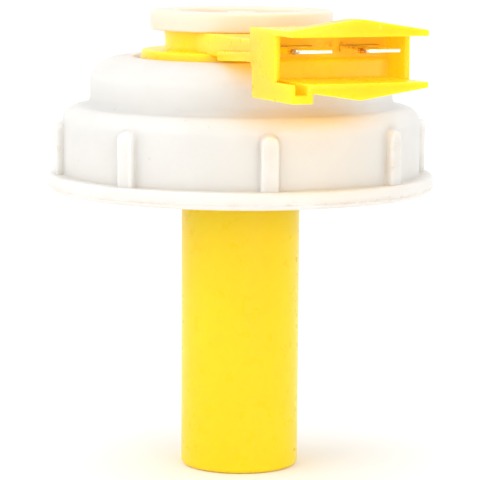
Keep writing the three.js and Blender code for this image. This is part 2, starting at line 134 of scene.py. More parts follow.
KEYWAY_HEIGHT = 61.6
KEYWAY_SPAN = (-10.03, -8.2)
KEYWAY_FLOOR = 61.35
KEYWAY_BACK = 33
PLUG_WALL = 0.87
SIDE_SETBACK = 6.0
CAVITY_BACK = 31.3
CAVITY_FLOOR = 62.9
CAVITY_CEILING = 69.4
CAVITY_STEP = 65.8

# Blades
TAB_WIDTH = 6.3
TAB_THICK = 0.8
TAB_OFFSET = 5.3
TAB_Z = 67.2
TAB_TIP = 39.8
STRIP_WIDTH = 2.6
TARNISH = [
    ((3.6, -35.5, TAB_Z + 0.4), (3.2, 5.5, 0.5)),
    ((-8.3, -38.6, TAB_Z), (1.1, 2.6, 1.2)),
    ((2.3, -38.8, TAB_Z), (0.9, 2.0, 1.2)),
]

# Cover, tube and inner pieces
COVER_BOTTOM = 68.5
TUBE_BORE = 8.0
GASKET_INNER = 21.6
WASHER_BORE = 10.8
ROD_BORE = 1.3

# Emission strengths that stand in for light passing through the thin yellow walls
CAVITY_GLOW = 0.26
NECK_GLOW = 0.5
UNDERSIDE_GLOW = 0.75

# Camera, fitted to the photograph, with angles in degrees
CAMERA_AZIMUTH = -22.8
CAMERA_PITCH = 7.45
CAMERA_ROLL = 0.35
CAMERA_DISTANCE = 0.402
CAMERA_OFFSET = 0.00006
LENS = 192.3
AIM = Vector((0, 0, 0.0355))


# ---------------------------------------------------------------- mesh helpers
def arc(x, y, radius_x, radius_y, start, end, steps):
    """Points of an elliptical arc, with angles in degrees."""
    angles = np.radians(np.linspace(start, end, steps + 1))
    return [(x + radius_x * math.cos(a), y + radius_y * math.sin(a)) for a in angles]


def piece(name, mesh):
    made = bpy.data.objects.new(name, mesh)
    bpy.context.scene.collection.objects.link(made)
    return made


def mesh_of(name, points, faces):
    mesh = bpy.data.meshes.new(name)
    mesh.from_pydata([tuple(p) for p in points], [], faces)
    mesh.update()
    return mesh


def shade(mesh, sharp_degrees=38):
    """Smooth shading that breaks at edges sharper than the given angle."""
    work = bmesh.new()
    work.from_mesh(mesh)
    limit = math.radians(sharp_degrees)
    for edge in work.edges:
        edge.smooth = not edge.is_manifold or edge.calc_face_angle() < limit
    for face in work.faces:
        face.smooth = True
    work.to_mesh(mesh)
    work.free()


def outward(mesh):
    work = bmesh.new()
    work.from_mesh(mesh)
    bmesh.ops.recalc_face_normals(work, faces=work.faces)
    work.to_mesh(mesh)
    work.free()


def finish_piece(made, body, material_slot, *nodes, material=None):
    """Scales a millimetre mesh to metres, shades it and puts it on its body in place of its CAD nodes."""
    made.data.transform(Matrix.Scale(MM, 4))
    outward(made.data)
    shade(made.data)
    made.data.materials.clear()
    made.data.materials.append(material or MATERIALS[material_slot])
    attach(made, body)
    if nodes:
        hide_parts(*nodes)
    return made


def lathe_mesh(name, profile, segments, closed=True):
    """A profile of (radius, height) points turned round Z. Points on the axis become single vertices."""
    points = []
    rows = []
    angles = np.linspace(0, 2 * math.pi, segments, endpoint=False)
    for radius, height in profile:
        if radius < 1e-6:
            rows.append([len(points)] * segments)
            points.append((0, 0, height))
        else:
            rows.append(list(range(len(points), len(points) + segments)))
            points.extend((radius * math.cos(a), radius * math.sin(a), height) for a in angles)
    faces = []
    pairs = len(rows) if closed else len(rows) - 1
    for i in range(pairs):
        low, high = rows[i], rows[(i + 1) % len(rows)]
        for j in range(segments):
            k = (j + 1) % segments
            corners = [low[j], low[k], high[k], high[j]]
            corners = list(dict.fromkeys(corners))
            if len(corners) > 2:
                faces.append(corners)
    return mesh_of(name, points, faces)


def prism_mesh(name, outline, near, far, place):
    """An outline of (a, b) points drawn out from near to far. place turns (a, b, distance) into (x, y, z)."""
    count = len(outline)
    points = [place(a, b, near) for a, b in outline] + [place(a, b, far) for a, b in outline]
    faces = [list(range(count))[::-1], list(range(count, 2 * count))]
    faces += [[i, (i + 1) % count, count + (i + 1) % count, count + i] for i in range(count)]
    mesh = mesh_of(name, points, faces)
    outward(mesh)
    return mesh


def along_arm(a, b, distance):
    return a, -distance, b


def across_arm(a, b, distance):
    return distance, -a, b


def upright(a, b, distance):
    return a, b, distance


def block_mesh(name, across, along, height):
    outline = [(across[0], height[0]), (across[1], height[0]), (across[1], height[1]), (across[0], height[1])]
    return prism_mesh(name, outline, along[0], along[1], along_arm)


def evaluated(made):
    """The mesh of an object with its modifiers applied. The object itself is deleted."""
    bpy.context.view_layer.update()
    graph = bpy.context.evaluated_depsgraph_get()
    mesh = bpy.data.meshes.new_from_object(made.evaluated_get(graph))
    bpy.data.objects.remove(made)
    return mesh


def combine(mesh, tool, operation):
    base = piece("work_base", mesh)
    other = piece("work_tool", tool)
    modifier = base.modifiers.new("combine", "BOOLEAN")
    modifier.operation = operation
    modifier.solver = "EXACT"
    modifier.object = other
    made = evaluated(base)
    bpy.data.objects.remove(other)
    return made


def joined(meshes):
    whole = meshes[0]
    for mesh in meshes[1:]:
        whole = combine(whole, mesh, "UNION")
    return whole


def cut(mesh, tools):
    for tool in tools:
        mesh = combine(mesh, tool, "DIFFERENCE")
    return mesh


def tidy(mesh, distance=1e-4, flat_degrees=0.5):
    """Merges doubled corners and drops edges that lie inside flat faces."""
    work = bmesh.new()
    work.from_mesh(mesh)
    bmesh.ops.remove_doubles(work, verts=work.verts, dist=distance)
    bmesh.ops.dissolve_limit(work, angle_limit=math.radians(flat_degrees), verts=work.verts, edges=work.edges)
    work.to_mesh(mesh)
    work.free()
    return mesh


def rounded(mesh, width, segments=3, limit=30):
    """The mesh with its sharp edges rounded."""
    made = piece("work_round", mesh)
    bevel = made.modifiers.new("round", "BEVEL")
    bevel.width = width
    bevel.segments = segments
    bevel.limit_method = "ANGLE"
    bevel.angle_limit = math.radians(limit)
    bevel.use_clamp_overlap = False
    bevel.miter_outer = "MITER_ARC"
    return evaluated(made)


# ---------------------------------------------------------------- material helpers
class Material:
    """A procedural material on a Principled shader, with small helpers for its nodes."""

    def __init__(self, name, roughness, metallic=0.0):
        self.material = bpy.data.materials.new(name)
        self.material.use_nodes = True
        self.tree = self.material.node_tree
        self.shader = next(n for n in self.tree.nodes if n.type == "BSDF_PRINCIPLED")
        self.shader.inputs["Roughness"].default_value = roughness
        self.shader.inputs["Metallic"].default_value = metallic
        self.place = self.tree.nodes.new("ShaderNodeTexCoord").outputs["Object"]

    def put(self, value, socket):
        if isinstance(value, bpy.types.NodeSocket):
            self.tree.links.new(value, socket)
        else:
            socket.default_value = value

    def stretched(self, scale):
        """Object coordinates scaled unevenly, for brushed or streaked textures."""
        node = self.tree.nodes.new("ShaderNodeMapping")
        self.put(self.place, node.inputs["Vector"])
        node.inputs["Scale"].default_value = scale
        return node.outputs["Vector"]

    def noise(self, scale, detail=4.0, roughness=0.55, vector=None):
        node = self.tree.nodes.new("ShaderNodeTexNoise")
        self.put(vector or self.place, node.inputs["Vector"])
        node.inputs["Scale"].default_value = scale
        node.inputs["Detail"].default_value = detail
        node.inputs["Roughness"].default_value = roughness
        return node.outputs["Fac"]

    def cells(self, scale):
        node = self.tree.nodes.new("ShaderNodeTexVoronoi")
        self.put(self.place, node.inputs["Vector"])
        node.inputs["Scale"].default_value = scale
        return node.outputs["Distance"]

    def attribute(self, name):
        node = self.tree.nodes.new("ShaderNodeAttribute")
        node.attribute_name = name
        return node.outputs["Fac"]

    def blob(self, centre, radii):
        """1 at a place given in millimetres, falling to 0 at the given distances from it."""
        node = self.tree.nodes.new("ShaderNodeMapping")
        self.put(self.place, node.inputs["Vector"])
        node.inputs["Scale"].default_value = [1 / (r * MM) for r in radii]
        node.inputs["Location"].default_value = [-c / r for c, r in zip(centre, radii)]
        length = self.tree.nodes.new("ShaderNodeVectorMath")
        length.operation = "LENGTH"
        self.put(node.outputs["Vector"], length.inputs[0])
        return self.span(length.outputs["Value"], 0.2, 1.0, 1.0, 0.0)

    def span(self, value, low, high, to_low=0.0, to_high=1.0):
        node = self.tree.nodes.new("ShaderNodeMapRange")
        node.interpolation_type = "SMOOTHSTEP"
        self.put(value, node.inputs["Value"])
        node.inputs["From Min"].default_value = low
        node.inputs["From Max"].default_value = high
        node.inputs["To Min"].default_value = to_low
        node.inputs["To Max"].default_value = to_high
        return node.outputs["Result"]

    def math(self, operation, a, b):
        node = self.tree.nodes.new("ShaderNodeMath")
        node.operation = operation
        self.put(a, node.inputs[0])
        self.put(b, node.inputs[1])
        return node.outputs["Value"]

    def product(self, first, *others):
        for other in others:
            first = self.math("MULTIPLY", first, other)
        return first

    def mix(self, factor, a, b):
        node = self.tree.nodes.new("ShaderNodeMix")
        node.data_type = "RGBA"
        self.put(factor, node.inputs["Factor"])
        colours = [s for s in node.inputs if s.type == "RGBA"]
        self.put(a, colours[0])
        self.put(b, colours[1])
        return next(s for s in node.outputs if s.type == "RGBA")

    def colour(self, value):
        self.put(value, self.shader.inputs["Base Color"])

    def roughness(self, value):
        self.put(value, self.shader.inputs["Roughness"])

    def bump(self, layers):
        """Height layers as (socket, depth in metres), one bump on top of the other."""
        last = None
        for height, depth in layers:
            node = self.tree.nodes.new("ShaderNodeBump")
            self.put(height, node.inputs["Height"])
            node.inputs["Distance"].default_value = depth
            if last:
                self.put(last, node.inputs["Normal"])
            last = node.outputs["Normal"]
        self.put(last, self.shader.inputs["Normal"])

    def below(self, weight, radius, scale):
        """Light that scatters below the surface."""
        self.shader.inputs["Subsurface Weight"].default_value = weight
        self.shader.inputs["Subsurface Radius"].default_value = radius
        self.shader.inputs["Subsurface Scale"].default_value = scale

    def axes(self, vector):
        node = self.tree.nodes.new("ShaderNodeSeparateXYZ")
        self.put(vector, node.inputs["Vector"])
        return node.outputs["X"], node.outputs["Y"], node.outputs["Z"]

    def glow(self, colour, strength):
        """Emission of one colour, with a strength that may vary over the surface."""
        self.shader.inputs["Emission Color"].default_value = colour
        self.put(strength, self.shader.inputs["Emission Strength"])


def rgb(red, green, blue):
    return red, green, blue, 1.0


def cap_plastic():
    """White plastic, slightly cloudy, with brown grime where fingers and dust leave it. The grime is heavier
    on the side turned away from the key light, which is painted shade.
    """
    made = Material("cap_plastic", 0.42)
    cloud = made.span(made.noise(70, 3), 0.35, 0.7)
    clean = made.mix(cloud, rgb(0.613, 0.603, 0.58), rgb(0.635, 0.626, 0.606))
    specks = made.span(made.noise(1500, 5, 0.75), 0.52, 0.66)
    patches = made.span(made.noise(260, 4, 0.6), 0.42, 0.62)
    # The grime field holds dirt and painted shade: it is stronger on the side turned away from the key light.
    grime_and_shade = made.math("MULTIPLY", made.attribute("grime_and_shade"), made.math("MULTIPLY", specks, patches))
    film_and_shade = made.math("MULTIPLY", made.attribute("grime_and_shade"), made.span(patches, 0, 1, 0.05, 0.22))
    dirt_and_shade = made.math("MAXIMUM", made.math("MULTIPLY", grime_and_shade, 0.75), film_and_shade)
    dust = made.span(made.noise(620, 2, 0.4), 0.735, 0.78, 0, 0.35)
    colour = made.mix(dirt_and_shade, clean, rgb(0.42, 0.27, 0.15))
    made.colour(made.mix(dust, colour, rgb(0.55, 0.47, 0.38)))
    made.roughness(made.span(dirt_and_shade, 0, 0.5, 0.42, 0.75))
    made.bump([(made.noise(450, 3), 0.00006), (made.noise(3200, 2), 0.000012)])
    made.below(0.85, (1.0, 0.96, 0.88), 0.005)
    made.shader.inputs["Specular IOR Level"].default_value = 0.4
    return made.material


def passed_light(made):
    """Emission strength where light that has gone through thin walls comes out.

    The real plastic does not shine. The renderer does not carry light through the walls to what is next
    to them, so this takes its place in the cavity, round the neck and under the arm and the plug.
    """
    x, y, z = made.axes(made.place)
    facing_up = made.axes(made.tree.nodes.new("ShaderNodeNewGeometry").outputs["Normal"])[2]
    inside = PLUG_HALF - PLUG_WALL
    cavity = made.product(
        made.span(made.math("ABSOLUTE", x, 0), (inside - 0.05) * MM, (inside + 0.1) * MM, 1, 0),
        made.span(z, (CAVITY_FLOOR - 0.15) * MM, (CAVITY_FLOOR - 0.05) * MM),
        made.span(z, (CAVITY_CEILING + 0.05) * MM, (CAVITY_CEILING + 0.15) * MM, 1, 0),
        made.span(y, -CAVITY_BACK * MM, (0.1 - CAVITY_BACK) * MM, 1, 0),
        CAVITY_GLOW,
    )
    underside = made.product(
        made.span(facing_up, -0.95, -0.5, 1, 0),
        made.span(y, -16 * MM, -13 * MM, 1, 0),
        made.span(z, 66.5 * MM, 67 * MM, 1, 0),
        UNDERSIDE_GLOW,
    )
    neck = made.math("MULTIPLY", made.blob((0, 0, NECK_TOP - 1.4), (24, 24, 5)), NECK_GLOW)
    return made.math("MAXIMUM", cavity, made.math("MAXIMUM", neck, underside))


def yellow_plastic(name, green, thin=False):
    """Glossy yellow moulding with faint flow clouds, and brown stains round the blades that are partly
    painted shadow.

    green sets how warm the yellow is. thin adds the stand-in for light through the walls.
    """
    made = Material(name, 0.32)
    flow = made.span(made.noise(60, 3, 0.5, made.stretched((1, 0.4, 0.4))), 0.3, 0.7)
    clean = made.mix(flow, rgb(0.985, green, 0.008), rgb(0.995, green * 1.06, 0.012))
    stain_and_shadow_shape = made.span(made.noise(900, 4, 0.7), 0.42, 0.68)
    # Painted shadow: dark brown patches on the back wall beside each blade stand for the blade's shadow
    # there, mixed with a stain.
    beside = [made.blob((x, -CAVITY_BACK, TAB_Z + 0.5), (3.2, 1.2, 0.8)) for x in (-8.2, 1.6)]
    stain_and_shadow = made.math("MULTIPLY", made.math("MAXIMUM", *beside), stain_and_shadow_shape)
    specks = made.span(made.noise(700, 2, 0.4), 0.75, 0.79, 0, 0.15)
    colour = made.mix(stain_and_shadow, clean, rgb(0.22, 0.09, 0.015))
    made.colour(made.mix(specks, colour, rgb(0.97, 0.86, 0.45)))
    made.roughness(made.span(made.noise(420, 3), 0.3, 0.7, 0.27, 0.31))
    made.bump([(made.noise(300, 3), 0.000012), (made.noise(2600, 2), 0.000004)])
    made.below(1.0, (0.35, 0.5, 0.1), 0.005)
    made.shader.inputs["Specular IOR Level"].default_value = 0.22
    if thin:
        made.glow(rgb(1.0, 0.55, 0.02), passed_light(made))
    return made.material


def cover_elastomer():
    """Cream translucent elastomer."""
    made = Material("cover_elastomer", 0.38)
    cloud = made.span(made.noise(90, 3), 0.35, 0.7)
    clean = made.mix(cloud, rgb(0.79, 0.655, 0.515), rgb(0.81, 0.675, 0.535))
    specks = made.span(made.noise(800, 2, 0.4), 0.73, 0.78, 0, 0.3)
    made.colour(made.mix(specks, clean, rgb(0.7, 0.52, 0.36)))
    made.roughness(made.span(made.noise(200, 3), 0.3, 0.7, 0.34, 0.42))
    made.bump([(made.noise(120, 2), 0.00002), (made.noise(2400, 2), 0.000003)])
    made.below(0.6, (0.8, 0.75, 0.65), 0.0025)
    return made.material


def natural_plastic():
    """Unpigmented nylon of the inner mouldings."""
    made = Material("natural_plastic", 0.4)
    cloud = made.span(made.noise(200, 3), 0.3, 0.7)
    made.colour(made.mix(cloud, rgb(0.78, 0.72, 0.6), rgb(0.84, 0.79, 0.68)))
    made.roughness(made.span(made.noise(300, 3), 0.3, 0.7, 0.34, 0.48))
    made.bump([(made.noise(900, 3), 0.00002)])
    made.below(0.25, (1.0, 0.85, 0.65), 0.0015)
    return made.material


def black_rubber():
    """Moulded rubber of the seals, with a dusty bloom."""
    made = Material("black_rubber", 0.65)
    bloom = made.span(made.noise(420, 5, 0.65), 0.45, 0.75)
    made.colour(made.mix(bloom, rgb(0.012, 0.012, 0.013), rgb(0.045, 0.043, 0.04)))
    made.roughness(made.span(bloom, 0, 1, 0.55, 0.8))
    made.bump([(made.noise(1600, 4), 0.00003)])
    return made.material


def float_foam():
    """Closed-cell foam of the float."""
    made = Material("float_foam", 0.85)
    cells = made.cells(1500)
    made.colour(made.mix(made.span(cells, 0.1, 0.6), rgb(0.05, 0.034, 0.024), rgb(0.15, 0.105, 0.075)))
    made.bump([(cells, 0.00012), (made.noise(300, 3), 0.0001)])
    return made.material


def metal(name, dark, light, rough, streak, tarnish_places=()):
    """Bare metal with fine drawing streaks along one direction, and brown tarnish at the given places."""
    made = Material(name, rough, 1.0)
    streaks = made.noise(1, 3, 0.6, made.stretched(streak))
    colour = made.mix(made.span(streaks, 0.3, 0.7), dark, light)
    for centre, radii in tarnish_places:
        speckle = made.span(made.noise(1500, 4, 0.7), 0.36, 0.55)
        spots = made.math("MULTIPLY", made.blob(centre, radii), speckle)
        colour = made.mix(spots, colour, rgb(0.4, 0.2, 0.05))
    made.colour(colour)
    made.roughness(made.span(streaks, 0.3, 0.7, rough * 0.75, rough * 1.35))
    made.bump([(streaks, 0.000006), (made.noise(500, 4), 0.00001)])
    return made.material


MATERIALS = {
    "cap_plastic": cap_plastic(),
    "yellow_plastic": yellow_plastic("yellow_plastic", 0.605),
    "cover_elastomer": cover_elastomer(),
    "natural_plastic": natural_plastic(),
    "black_rubber": black_rubber(),
    "float_foam": float_foam(),
    "tinned_brass": metal(
        "tinned_brass", rgb(0.86, 0.84, 0.81), rgb(0.96, 0.95, 0.93), 0.2, (5200, 260, 5200), TARNISH
    ),
    "spring_steel": metal(
        "spring_steel", rgb(0.42, 0.42, 0.44), rgb(0.66, 0.66, 0.68), 0.3, (900, 900, 6000)
    ),
    "contact_brass": metal(
        "contact_brass", rgb(0.62, 0.42, 0.16), rgb(0.83, 0.62, 0.3), 0.28, (3000, 400, 3000)
    ),
}
THIN_YELLOW = yellow_plastic("yellow_plastic_thin", 0.56, thin=True)


# ---------------------------------------------------------------- screw cap
def smoothstep(low, high, value):
    t = np.clip((np.asarray(value, float) - low) / (high - low), 0, 1)
    return t * t * (3 - 2 * t)


def rib_rise(across, height):
    """How far a rib stands out, from 0 to 1, at a place given across the rib and up it."""
    half = RIB_WIDTH / 2
    round_start = RIB_TOP - half
    beyond = np.hypot(across, np.maximum(height - round_start, 0)) - half
    edge = 0.4
    inner = np.clip((beyond + edge) / edge, 0, 1)
    crown = 1 - (1 - np.sqrt(1 - inner**2)) * edge / RIB_HEIGHT
    flank = 1 - smoothstep(-0.02, 0.09, beyond)
    foot = 0.16 * (1 - smoothstep(0.0, 0.45, beyond)) ** 2
    return np.maximum(crown * flank, np.where(beyond > -0.05, foot, 0))


def cap_angles():
    """Angles round the cap, close together across each rib."""
    near = np.array([0, 0.3, 0.6, 0.82, 0.95, 1.05, 1.13, 1.2, 1.26, 1.3, 1.35, 1.42, 1.52, 1.68, 1.95])
    across = np.concatenate([-near[:0:-1], near]) / SKIRT_RADIUS
    step = 2 * math.pi / RIB_COUNT
    between = np.linspace(across[-1], step + across[0], 10)[1:-1]
    angles = [k * step - RIB_START + a for k in range(RIB_COUNT) for a in np.concatenate([across, between])]
    return np.array(angles) - math.pi / 2


def spaced(low, high, step):
    """Heights from low to high, both left out, about one step apart."""
    return np.linspace(low, high, max(2, round((high - low) / step) + 1))[1:-1]


def cap_profile():
    """Closed profile as (radius, height, kind), where kind marks the rows that ribs or thread stand on."""
    rim_edge = 0.5
    foot = 0.3
    inside = SKIRT_RADIUS - CAP_WALL
    outer = [(inside + 0.6, CAP_BOTTOM), (CAP_RADIUS - 0.8, CAP_BOTTOM)]
    outer += arc(CAP_RADIUS - 0.55, CAP_BOTTOM + 0.62, 0.35, 0.42, -90, 0, 3)
    outer += [(CAP_RADIUS - 0.2, CAP_BOTTOM + 0.74), (CAP_RADIUS, CAP_BOTTOM + 0.84)]
    outer += [(CAP_RADIUS, CAP_BOTTOM + 1.4)]
    outer += arc(CAP_RADIUS - rim_edge, RIM_TOP - rim_edge, rim_edge, rim_edge, 0, 90, 5)
    rows = [(r, z, "") for r, z in outer]
    rows += [(r, z, "rib") for r, z in arc(SKIRT_RADIUS + foot, RIM_TOP + foot, foot, foot, 270, 180, 3)]
    rows += [(SKIRT_RADIUS, z, "rib") for z in spaced(RIM_TOP + foot, 51.9, 0.9)]
    turn_in = SHOULDER_Z - SHOULDER_ROUND
    rows += [(SKIRT_RADIUS, z, "rib") for z in spaced(51.8, turn_in, 0.14)]
    top = arc(SKIRT_RADIUS - SHOULDER_ROUND, turn_in, SHOULDER_ROUND, SHOULDER_ROUND, 0, 90, 24)
    top += arc(DOME_RADIUS + 1.5, SHOULDER_Z + 1.5, 1.5, 1.5, 270, 180, 7)
    top += arc(DOME_RADIUS - 5, CAP_TOP - 3.9, 5, 3.9, 0, 90, 14)
    top += arc(SEAT_RADIUS + 0.35, CAP_TOP - 0.2, 0.2, 0.2, 90, 180, 3)
    top += [(SEAT_RADIUS, SEAT_Z + 0.1), (SEAT_RADIUS - 0.15, SEAT_Z), (RING_SEAT_RADIUS, SEAT_Z)]
    top += [(RING_SEAT_RADIUS, RING_SEAT_Z), (BORE_RADIUS, RING_SEAT_Z), (BORE_RADIUS, BORE_BOTTOM)]
    top += [(BOSS_RADIUS, BORE_BOTTOM), (BOSS_RADIUS + 1, CEILING_Z)]
    top += arc(DOME_RADIUS - 5, CEILING_Z - 1.8, 5 - CAP_WALL, 1.8, 90, 0, 7)
    top += arc(DOME_RADIUS - CAP_WALL + 0.3, SHOULDER_Z - CAP_WALL + 0.3, 0.3, 0.3, 180, 270, 3)
    top += arc(inside - 0.4, SHOULDER_Z - CAP_WALL - 0.4, 0.4, 0.4, 90, 0, 3)
    rows += [(r, z, "rib") for r, z in top[:RIB_ARC_ROWS]]
    rows += [(r, z, "") for r, z in top[RIB_ARC_ROWS:]]
    rows += [(inside, z, "thread") for z in spaced(SHOULDER_Z - CAP_WALL - 0.4, CAP_BOTTOM + 1, 0.26)]
    rows += [(inside, CAP_BOTTOM + 1, "")]
    return rows


def thread_rise(turn, height):
    """How far the thread stands in, from 0 to 1, at a turn counted from the plug's direction."""
    rise = np.zeros(np.broadcast(turn, height).shape)
    for lap in range(2):
        along = np.mod(turn, 1) + lap
        centre = THREAD_START + THREAD_PITCH * along
        flank = 1 - smoothstep(0.5, 1.2, np.abs(height - centre))
        ends = smoothstep(0, 0.03, along) * (1 - smoothstep(THREAD_TURNS - 0.03, THREAD_TURNS, along))
        rise = np.maximum(rise, flank * ends)
    return rise


def cap_soiling_and_shade(points):
    """How dirty each point is, with painted shade: on the ribs, along the rim's lower groove and a little on
    the rim's edge, and more on the side turned away from the key light.
    """
    radius = np.hypot(points[:, 0], points[:, 1])
    height = points[:, 2]
    turn = np.arctan2(points[:, 1], points[:, 0]) + math.pi / 2 + RIB_START
    step = 2 * math.pi / RIB_COUNT
    nearest = np.abs(np.mod(turn + step / 2, step) - step / 2) * SKIRT_RADIUS
    outside = radius > SKIRT_RADIUS - 0.5
    rib = (1 - smoothstep(0.7, 2.2, nearest)) * (1 - smoothstep(RIB_TOP + 0.3, RIB_TOP + 1.6, height))
    rib *= 0.45 + 0.55 * smoothstep(0.4, 1.2, nearest)
    rib *= smoothstep(RIM_TOP - 0.1, RIM_TOP + 0.5, height)
    # Painted shade: the rib marks fade on the side that faces the key light and are strongest on the shaded
    # side.
    bearing = np.degrees(np.arctan2(points[:, 0], -points[:, 1]))
    rib *= 0.12 + 0.88 * smoothstep(-35, -5, bearing)
    groove = np.exp(-(((height - CAP_BOTTOM - 0.78) / 0.17) ** 2)) * (radius > CAP_RADIUS - 0.5)
    edge = np.exp(-(((height - CAP_BOTTOM) / 0.35) ** 2)) * 0.35
    ledge = np.exp(-(((height - RIM_TOP) / 0.3) ** 2)) * 0.3
    # Painted shade: the marks low on the rim are lighter on the side that faces the key light.
    low_marks_and_shade = (1.3 * groove + 1.2 * edge) * (0.5 + 0.5 * smoothstep(-60, 0, bearing))
    return np.clip((np.maximum(rib * 0.85, ledge) + low_marks_and_shade) * outside, 0, 1)


def add_field(mesh, name, values):
    field = mesh.attributes.new(name, "FLOAT", "POINT")
    field.data.foreach_set("value", np.asarray(values, np.float32))


def make_screw_cap():
    angles = cap_angles()
    rows = cap_profile()
    count = len(angles)
    step = 2 * math.pi / RIB_COUNT
    from_rib = angles + math.pi / 2 + RIB_START
    across = (np.mod(from_rib + step / 2, step) - step / 2) * SKIRT_RADIUS
    turn = (-(angles + math.pi / 2)) / (2 * math.pi) + 0.25
    grid = []
    for radius, height, kind in rows:
        ring = np.full(count, float(radius))
        if kind == "rib":
            stand = min(radius, SKIRT_RADIUS) + RIB_HEIGHT * rib_rise(across, height)
            ring = np.maximum(ring, stand)
        elif kind == "thread":
            ring -= THREAD_DEPTH * thread_rise(turn, height)
        grid.append(np.column_stack([ring * np.cos(angles), ring * np.sin(angles), np.full(count, height)]))
    points = np.concatenate(grid)
    faces = []
    for i in range(len(rows)):
        low = i * count
        high = ((i + 1) % len(rows)) * count
        faces += [[low + j, low + (j + 1) % count, high + (j + 1) % count, high + j] for j in range(count)]
    mesh = mesh_of("cap_shell", points, faces)
    # Grime field: dirt, with painted shade on the side turned away from the key light.
    add_field(mesh, "grime_and_shade", cap_soiling_and_shade(points))
    return finish_piece(piece("cap_shell", mesh), "cap", "cap_plastic", "screw_cap")


# ---------------------------------------------------------------- switch housing
def housing_core():
    """Flange, neck, stem and spigot, turned round the axis, with the chamber open at the top."""
    waist = NECK_RADIUS
    profile = arc(SPIGOT_RADIUS - 0.2, SPIGOT_BOTTOM + 0.2, 0.2, 0.2, -90, 0, 2)
    profile += [(SPIGOT_RADIUS, STEM_BOTTOM), (STEM_RADIUS - 0.2, STEM_BOTTOM)]
    profile += [(STEM_RADIUS, STEM_BOTTOM + 0.2), (STEM_RADIUS, SEAL_GROOVE[0])]
    profile += [(STEM_RADIUS - SEAL_GROOVE_DEPTH, z) for z in SEAL_GROOVE]
    profile += [(STEM_RADIUS, SEAL_GROOVE[1])]
    profile += [(STEM_RADIUS, FLANGE_BOTTOM), (FLANGE_RADIUS - 0.12, FLANGE_BOTTOM)]
    profile += [(FLANGE_RADIUS, FLANGE_BOTTOM + 0.12), (FLANGE_RADIUS - 0.32, FLANGE_TOP - 0.3)]
    profile += arc(FLANGE_RADIUS - 0.62, FLANGE_TOP - 0.3, 0.3, 0.3, 0, 90, 4)
    profile += arc(waist + 0.9, FLANGE_TOP + 0.9, 0.9, 0.9, 270, 180, 6)
    profile += [(waist + 0.03, NECK_TOP - 1.2), (waist + 0.1, NECK_TOP - 0.6)]
    profile += [(waist + 0.25, NECK_TOP), (waist + 0.25, NECK_CREST), (LEDGE_RADIUS, NECK_CREST)]
    profile += [(LEDGE_RADIUS, LEDGE_Z), (CHAMBER_RADIUS, LEDGE_Z), (CHAMBER_RADIUS, CHAMBER_FLOOR + 0.3)]
    profile += [(CHAMBER_RADIUS - 0.3, CHAMBER_FLOOR), (2.9, CHAMBER_FLOOR), (2.9, STEM_BOTTOM)]
    profile += [(SPIGOT_RADIUS - 1.3, STEM_BOTTOM), (SPIGOT_RADIUS - 1.3, SPIGOT_BOTTOM)]
    return lathe_mesh("core", profile, 128)


def arm_outline():
    """The arm seen from above, with a fillet on each side where it runs into the neck."""
    blend = 5.0
    along = math.sqrt((NECK_RADIUS + blend) ** 2 - (ARM_HALF + blend) ** 2)
    start = math.degrees(math.atan2(ARM_HALF + blend, along))
    side = []
    for angle in np.linspace(180 + start, 270, 7):
        a = math.radians(angle)
        distance = along + blend * math.cos(a)
        offset = ARM_HALF + blend + blend * math.sin(a)
        side.append((offset, -distance))
    step_out = 0.18
    side += [(ARM_HALF, -20.4), (ARM_HALF + step_out, -21.0), (ARM_HALF + step_out, -PLUG_BACK - 0.6)]
    inner = [(LEDGE_RADIUS + 0.3, side[0][1] + 0.4)]
    right = inner + side
    return right + [(-x, y) for x, y in reversed(right)]


def plug_body():
    """Arm, lip and connector shroud, before its edges are rounded."""
    beam = prism_mesh("beam", arm_outline(), ARM_BOTTOM, ARM_TOP, upright)
    fillet = 1.2
    lip_end = LIP_BOTTOM + LIP_RISE
    lip_outline = [(LIP_START, LIP_BOTTOM)]
    lip_outline += arc(PLUG_BACK - fillet, lip_end - fillet, fillet, fillet, 90, 0, 8)
    lip_outline += [(PLUG_BACK + 1, lip_end - fillet), (PLUG_BACK + 1, LIP_TOP + LIP_RISE)]
    lip_outline += [(LIP_START, LIP_TOP)]
    lip = prism_mesh("lip", lip_outline, -PLUG_HALF, PLUG_HALF, across_arm)
    shell_outline = [(-PLUG_HALF, PLUG_FOOT), (KEYWAY_EDGE, PLUG_FOOT), (KEYWAY_EDGE, KEYWAY_HEIGHT)]
    shell_outline += [(0, PLUG_KEEL), (PLUG_HALF, PLUG_EDGE), (PLUG_HALF, PLUG_ROOF), (-PLUG_HALF, PLUG_ROOF)]
    shell = prism_mesh("shell", shell_outline, PLUG_BACK, PLUG_MOUTH, along_arm)
    back = block_mesh("back", (-PLUG_HALF, PLUG_HALF), (PLUG_UPPER_BACK, PLUG_BACK + 1), (LIP_TOP, PLUG_ROOF))
    latch_outline = [(-PLUG_HALF, PLUG_ROOF - 0.4), (PLUG_HALF, PLUG_ROOF - 0.4), (PLUG_HALF, PLUG_ROOF),
                     (0.7, PLUG_PEAK), (-0.7, PLUG_PEAK), (-PLUG_HALF, PLUG_ROOF)]
    latch = prism_mesh("latch", latch_outline, PLUG_MOUTH - 4, PLUG_MOUTH, along_arm)
    return joined([shell, latch, back, lip, beam])


